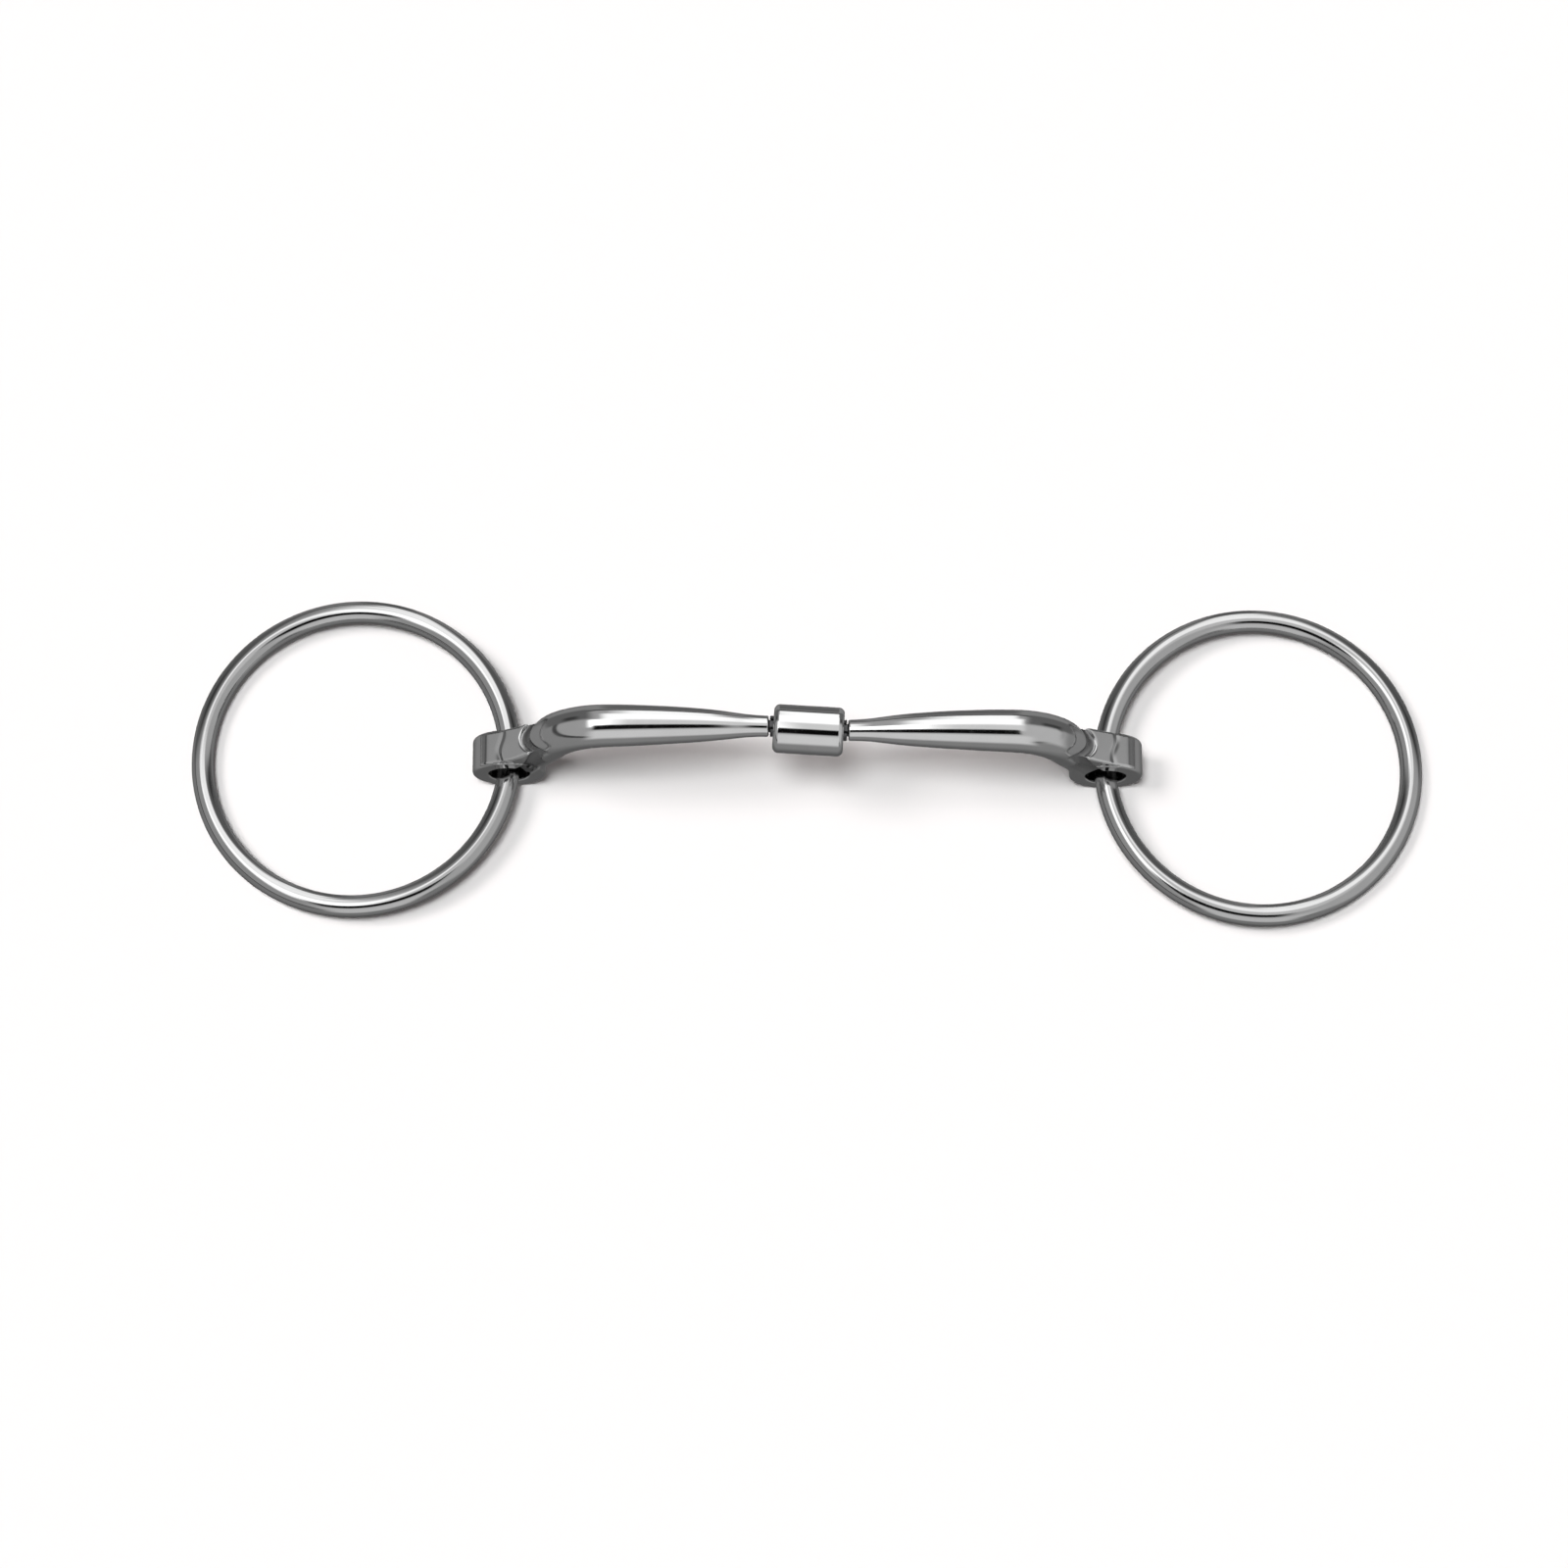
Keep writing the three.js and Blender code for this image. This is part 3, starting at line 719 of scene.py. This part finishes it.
def sky_position(tree):
    """A direction's place on a flat map of the sky: degrees from straight up, towards +X and +Y."""
    def math_node(operation, first, second=None):
        node = tree.nodes.new("ShaderNodeMath")
        node.operation = operation
        for socket, value in zip(node.inputs, (first, second)):
            if isinstance(value, (int, float)):
                socket.default_value = value
            elif value is not None:
                tree.links.new(value, socket)
        return node.outputs["Value"]

    direction = tree.nodes.new("ShaderNodeTexCoord").outputs["Generated"]
    axes = tree.nodes.new("ShaderNodeSeparateXYZ")
    tree.links.new(direction, axes.inputs["Vector"])
    from_zenith = math_node("DEGREES", math_node("ARCCOSINE", axes.outputs["Z"]))
    squares = [math_node("POWER", axes.outputs[axis], 2) for axis in ("X", "Y")]
    level = math_node("MAXIMUM", math_node("SQRT", math_node("ADD", *squares)), LEAST_LEVEL)
    scale = math_node("DIVIDE", from_zenith, level)
    place = tree.nodes.new("ShaderNodeVectorMath")
    place.operation = "SCALE"
    flat = tree.nodes.new("ShaderNodeCombineXYZ")
    tree.links.new(axes.outputs["X"], flat.inputs["X"])
    tree.links.new(axes.outputs["Y"], flat.inputs["Y"])
    tree.links.new(flat.outputs["Vector"], place.inputs[0])
    tree.links.new(scale, place.inputs["Scale"])
    return place.outputs["Vector"], from_zenith


def studio_world():
    """What the polished metal mirrors: a long softbox overhead, pale and grey walls, and a grey table."""
    world = bpy.data.worlds.new("studio")
    bpy.context.scene.world = world
    world.use_nodes = True
    world.cycles_visibility.diffuse = False
    tree = world.node_tree
    position, from_zenith = sky_position(tree)
    ramp = tree.nodes.new("ShaderNodeValToRGB")
    ramp.color_ramp.elements[0].position = 0
    ramp.color_ramp.elements[0].color = (*[SKY_LEVEL] * 3, 1)
    ramp.color_ramp.elements[1].position = 1
    ramp.color_ramp.elements[1].color = (*[TABLE_LEVEL] * 3, 1)
    for angle, level in HORIZON:
        element = ramp.color_ramp.elements.new(angle / STRAIGHT_DOWN)
        element.color = (*[level] * 3, 1)
    share = tree.nodes.new("ShaderNodeMath")
    share.operation = "DIVIDE"
    share.inputs[1].default_value = STRAIGHT_DOWN
    tree.links.new(from_zenith, share.inputs[0])
    tree.links.new(share.outputs["Value"], ramp.inputs["Fac"])
    color = ramp.outputs["Color"]
    for centre, half, turn, softness, level in SKY_PATCHES:
        mix = tree.nodes.new("ShaderNodeMix")
        mix.data_type = "RGBA"
        mix.inputs["B"].default_value = (level, level, level, 1)
        tree.links.new(patch_mask(tree, position, centre, half, turn, softness), mix.inputs["Factor"])
        tree.links.new(color, mix.inputs["A"])
        color = mix.outputs["Result"]
    tree.links.new(color, tree.nodes["Background"].inputs["Color"])


def soft_light(name, color, strength, spread, place):
    """A distant light as wide as spread, in degrees, that shines from a point of the sky map."""
    light = bpy.data.lights.new(name, "SUN")
    light.energy = strength
    light.color = color
    light.angle = math.radians(spread)
    lamp = bpy.data.objects.new(name, light)
    lamp.visible_glossy = False
    from_zenith = math.radians(math.hypot(*place))
    direction = Vector((*place, 0)).normalized() * math.sin(from_zenith)
    direction.z = math.cos(from_zenith)
    lamp.rotation_mode = "QUATERNION"
    lamp.rotation_quaternion = direction.to_track_quat("Z", "Y")
    bpy.context.scene.collection.objects.link(lamp)


def pale_backdrop():
    """A dome that only the camera sees, so that a low view looks at pale paper and not at the studio."""
    material = bpy.data.materials.new("backdrop_paper")
    material.use_nodes = True
    shader = material.node_tree.nodes["Principled BSDF"]
    shader.inputs["Base Color"].default_value = (0, 0, 0, 1)
    shader.inputs["Specular IOR Level"].default_value = 0
    shader.inputs["Emission Color"].default_value = (1, 1, 1, 1)
    shader.inputs["Emission Strength"].default_value = BACKDROP_LEVEL
    mesh = bpy.data.meshes.new("backdrop")
    ball = bmesh.new()
    bmesh.ops.create_icosphere(ball, subdivisions=BACKDROP_FINENESS, radius=BACKDROP_RADIUS)
    ball.to_mesh(mesh)
    ball.free()
    mesh.materials.append(material)
    dome = bpy.data.objects.new("backdrop", mesh)
    dome.visible_diffuse = False
    dome.visible_glossy = False
    dome.visible_transmission = False
    dome.visible_shadow = False
    bpy.context.scene.collection.objects.link(dome)


def pale_floor():
    """A wide sheet of matt paper on the table."""
    material = bpy.data.materials.new("floor_paper")
    material.use_nodes = True
    shader = material.node_tree.nodes["Principled BSDF"]
    shader.inputs["Base Color"].default_value = (*[FLOOR_TONE] * 3, 1)
    shader.inputs["Roughness"].default_value = 1
    shader.inputs["Specular IOR Level"].default_value = 0
    corners = [(x * FLOOR_REACH, y * FLOOR_REACH, 0) for x, y in ((-1, -1), (1, -1), (1, 1), (-1, 1))]
    mesh = bpy.data.meshes.new("floor")
    mesh.from_pydata(corners, [], [(0, 1, 2, 3)])
    mesh.materials.append(material)
    floor = bpy.data.objects.new("floor", mesh)
    floor.visible_glossy = False
    bpy.context.scene.collection.objects.link(floor)


def aim_camera():
    """A camera that looks down on the bit from the front, turned and rolled a little."""
    level = Vector((math.cos(CAMERA_AZIMUTH), math.sin(CAMERA_AZIMUTH), 0))
    front = Vector((math.sin(CAMERA_AZIMUTH), -math.cos(CAMERA_AZIMUTH), 0))
    back = front * math.cos(CAMERA_ELEVATION)
    back.z = math.sin(CAMERA_ELEVATION)
    upright = back.cross(level)
    right = level * math.cos(CAMERA_ROLL) + upright * math.sin(CAMERA_ROLL)
    up = upright * math.cos(CAMERA_ROLL) - level * math.sin(CAMERA_ROLL)
    camera = bpy.data.objects.new("camera", bpy.data.cameras.new("camera"))
    camera.data.sensor_width = SENSOR_WIDTH
    camera.data.lens = LENS
    camera.data.clip_start = CLIP_START
    place = Matrix((right, up, back)).transposed().to_4x4()
    place.translation = right * AIM_RIGHT + up * AIM_UP + back * CAMERA_DISTANCE
    camera.matrix_world = place
    bpy.context.scene.collection.objects.link(camera)
    bpy.context.scene.camera = camera


# --- The scene --------------------------------------------------------------------------------------------


def add_piece(name, node, mesh, material):
    """Puts a piece in a node's place: it takes over the node's body, with a material of its own, and the node
    is hidden.
    """
    mesh.materials.clear()
    mesh.materials.append(material)
    piece = bpy.data.objects.new(name, mesh)
    bpy.context.scene.collection.objects.link(piece)
    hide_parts(node)
    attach(piece, BODIES[node])


RING_STEEL = polished_steel("ring_steel", RING_FINISH)
# the arm's steel is bare on the tongue and carries painted shade in the crease beside the loop
ARM_STEEL = polished_steel("mouthpiece_steel", ARM_FINISH, bare_and_crease_shade_places=True)
SLEEVE_STEEL = polished_steel("barrel_steel", SLEEVE_FINISH)
# machined steel whose very dark tone is painted shade in the gap at the barrel's ends
PLUG_STEEL_SHADE_DARK = machined_metal("joint_steel", PLUG_SHADE_DARK_FINISH, STEEL_MACHINING)
PIN_STEEL = machined_metal("pin_steel", PIN_FINISH, STEEL_MACHINING)
SPACER_BRASS = machined_metal("turned_brass", SPACER_FINISH, BRASS_MACHINING)

for side in ("left", "right"):
    add_piece(f"{side}_wire_ring", f"{side}_ring", ring_mesh(side), RING_STEEL)
    arm_shape = partial(arm_field, loop_shift=LOOP_SHIFTS[side])
    arm = refined(f"{side}_arm", side, arm_shape, ARM_VOXEL)
    mark_polish_and_crease_shade(arm, side)
    add_piece(f"{side}_forged_arm", f"{side}_arm", arm, ARM_STEEL)
    plug = refined(f"{side}_swivel_plug", side, plug_field, PLUG_VOXEL)
    add_piece(f"{side}_turned_plug", f"{side}_swivel_plug", plug, PLUG_STEEL_SHADE_DARK)
    add_piece(f"{side}_ground_pin", f"{side}_cross_pin", pin_mesh(side), PIN_STEEL)
add_piece("barrel_shell", "barrel_sleeve", sleeve_mesh(), SLEEVE_STEEL)
add_piece("spacer_disc", "barrel_spacer", spacer_mesh(), SPACER_BRASS)

pale_floor()
pale_backdrop()
studio_world()
for lamp_name, lamp_values in LAMPS.items():
    soft_light(lamp_name, *lamp_values)
bpy.context.scene.view_settings.view_transform = "Standard"
aim_camera()
